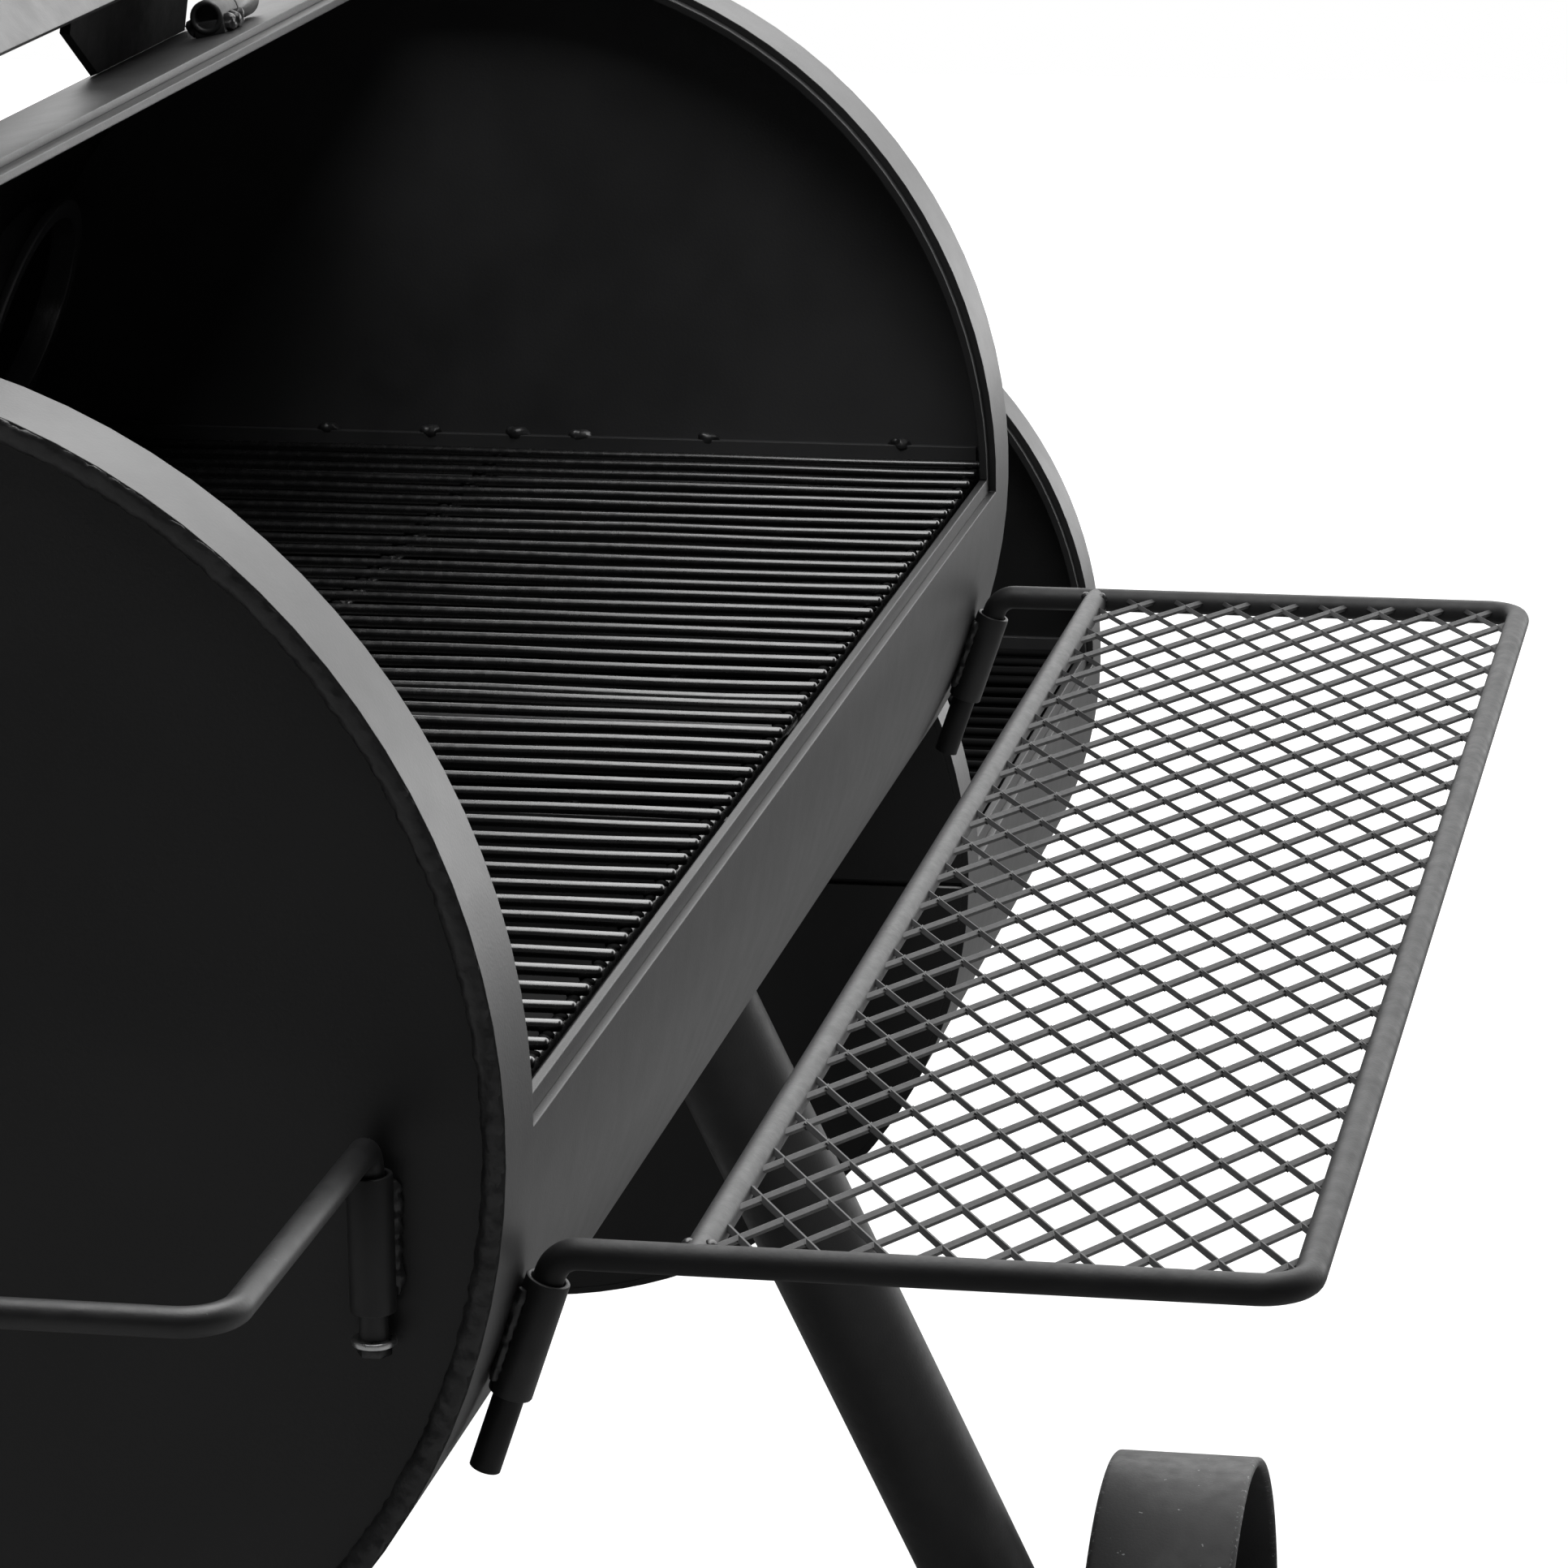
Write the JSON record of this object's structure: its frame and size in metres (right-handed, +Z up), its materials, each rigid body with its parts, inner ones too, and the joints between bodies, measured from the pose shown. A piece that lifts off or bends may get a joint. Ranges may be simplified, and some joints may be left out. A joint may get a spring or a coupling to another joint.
{
  "type": "offset smoker",
  "caption": "Horizontal barrel smoker with a side firebox, hinged lids, lift-out rod grates, a front mesh shelf, a smokestack and a pair of wheels.",
  "frame": {"origin": "middle of the footprint box, on the floor", "axes": "+X from the tow handle towards the firebox, +Y towards the back, where the smokestack stands, +Z up"},
  "size_m": [1.5422, 0.7853, 1.351],
  "materials": {
    "barrel_paint": "satin black heat-proof powder coat",
    "cup": "galvanised",
    "dial": "matt white",
    "foot": "matt",
    "frame_paint": "satin black powder coat",
    "gauge_steel": "brushed",
    "grate_steel": "glossy black enamel",
    "grip": "matt black paint",
    "lens": "clear",
    "lid_paint": "satin black heat-proof powder coat",
    "needle": "matt red",
    "wheel_paint": "satin black powder coat, worn at the edges",
    "zinc": "bright zinc plate"
  },
  "bodies": {
    "frame": {"chamber_shell": "barrel_paint", "chamber_left_plate": "barrel_paint", "chamber_right_plate": "barrel_paint", "chamber_lip": "barrel_paint", "grate_ledges": "barrel_paint", "grate_crossbar": "barrel_paint", "hinge_lugs": "frame_paint", "stack_collar": "barrel_paint", "smokestack": "barrel_paint", "drain_fittings": "frame_paint", "firebox_shell": "barrel_paint", "firebox_upper_plate": "barrel_paint", "firebox_lower_plate": "barrel_paint", "firebox_outer_plate": "barrel_paint", "firebox_lip": "barrel_paint", "door_fittings": "frame_paint", "shelf_sockets": "frame_paint", "tow_sockets": "frame_paint", "tow_handle": "frame_paint", "tow_bolts": "zinc", "leg_saddles": "frame_paint", "front_foot_leg": "frame_paint", "rear_foot_leg": "frame_paint", "front_wheel_leg": "frame_paint", "rear_wheel_leg": "frame_paint", "leg_feet": "foot", "axle": "zinc", "axle_caps": "zinc", "leg_braces": "frame_paint", "bottom_rack": "frame_paint"},
    "lid": {"lid_shell": "lid_paint", "lid_hinge_leaves": "lid_paint", "lid_stop_plates": "lid_paint", "lid_handle_arms": "lid_paint", "lid_handle": "grip", "gauge_case": "gauge_steel", "gauge_dial": "dial", "gauge_lens": "lens"},
    "needle": {"gauge_needle": "needle"},
    "firebox_lid": {"firebox_lid_shell": "lid_paint", "firebox_lid_leaves": "lid_paint", "firebox_lid_stops": "lid_paint", "firebox_handle_arms": "lid_paint", "firebox_handle": "grip"},
    "firebox_door": {"door_panel": "lid_paint", "door_leaves": "lid_paint", "damper_rivet": "zinc"},
    "air_damper": {"air_damper": "lid_paint"},
    "door_latch": {"latch": "lid_paint"},
    "stack_cap": {"stack_cap": "lid_paint"},
    "front_wheel": {"front_wheel": "wheel_paint"},
    "rear_wheel": {"rear_wheel": "wheel_paint"},
    "front_shelf": {"shelf_frame": "frame_paint", "shelf_inner_bar": "frame_paint", "shelf_mesh": "frame_paint"},
    "left_grate": {"left_grate": "grate_steel"},
    "right_grate": {"right_grate": "grate_steel"},
    "firebox_grate": {"firebox_grate": "grate_steel"},
    "grease_cup": {"grease_cup": "cup", "cup_bail": "cup"}
  },
  "joints": [
    {"name": "lid_hinge", "type": "hinge", "parent": "frame", "child": "lid", "pos_m": [-0.15488, 0.09991, 0.91228], "axis": [1, 0, 0], "range_deg": [0, 124]},
    {"name": "gauge_needle_turn", "type": "hinge", "parent": "lid", "child": "needle", "pos_m": [-0.15488, 0.16422, 1.09033], "axis": [0, 0.9976, 0.0698], "range_deg": [-135, 135]},
    {"name": "firebox_lid_hinge", "type": "hinge", "parent": "frame", "child": "firebox_lid", "pos_m": [0.51413, 0.09626, 0.71066], "axis": [1, 0, 0], "range_deg": [0, 124]},
    {"name": "firebox_door_hinge", "type": "hinge", "parent": "frame", "child": "firebox_door", "pos_m": [0.72913, 0.16187, 0.411], "axis": [0, 0, 1], "range_deg": [0, 110]},
    {"name": "air_damper_turn", "type": "hinge", "parent": "firebox_door", "child": "air_damper", "pos_m": [0.72462, 0.05387, 0.411], "axis": [-1, 0, 0], "range_deg": [0, 60]},
    {"name": "door_latch_turn", "type": "hinge", "parent": "frame", "child": "door_latch", "pos_m": [0.72113, -0.05912, 0.411], "axis": [-1, 0, 0], "range_deg": [0, 90]},
    {"name": "stack_cap_swivel", "type": "hinge", "parent": "frame", "child": "stack_cap", "pos_m": [0.29812, 0.34587, 1.346], "axis": [0, 0, 1], "range_deg": [0, 120]},
    {"name": "front_wheel_spin", "type": "hinge", "parent": "frame", "child": "front_wheel", "pos_m": [0.32712, -0.20563, 0.115], "axis": [0, 1, 0], "continuous": true},
    {"name": "rear_wheel_spin", "type": "hinge", "parent": "frame", "child": "rear_wheel", "pos_m": [0.32712, 0.31338, 0.115], "axis": [0, 1, 0], "continuous": true},
    {"name": "front_shelf_lift", "type": "slide", "parent": "frame", "child": "front_shelf", "axis": [0, -0.3256, 0.9455], "range_m": [0, 0.08]},
    {"name": "left_grate_lift", "type": "slide", "parent": "frame", "child": "left_grate", "axis": [0, 0, 1], "range_m": [0, 0.025]},
    {"name": "right_grate_lift", "type": "slide", "parent": "frame", "child": "right_grate", "axis": [0, 0, 1], "range_m": [0, 0.01]},
    {"name": "firebox_grate_lift", "type": "slide", "parent": "frame", "child": "firebox_grate", "axis": [0, 0, 1], "range_m": [0, 0.04]},
    {"name": "grease_cup_lift", "type": "slide", "parent": "frame", "child": "grease_cup", "axis": [0, 0, 1], "range_m": [0, 0.014]}
  ]
}
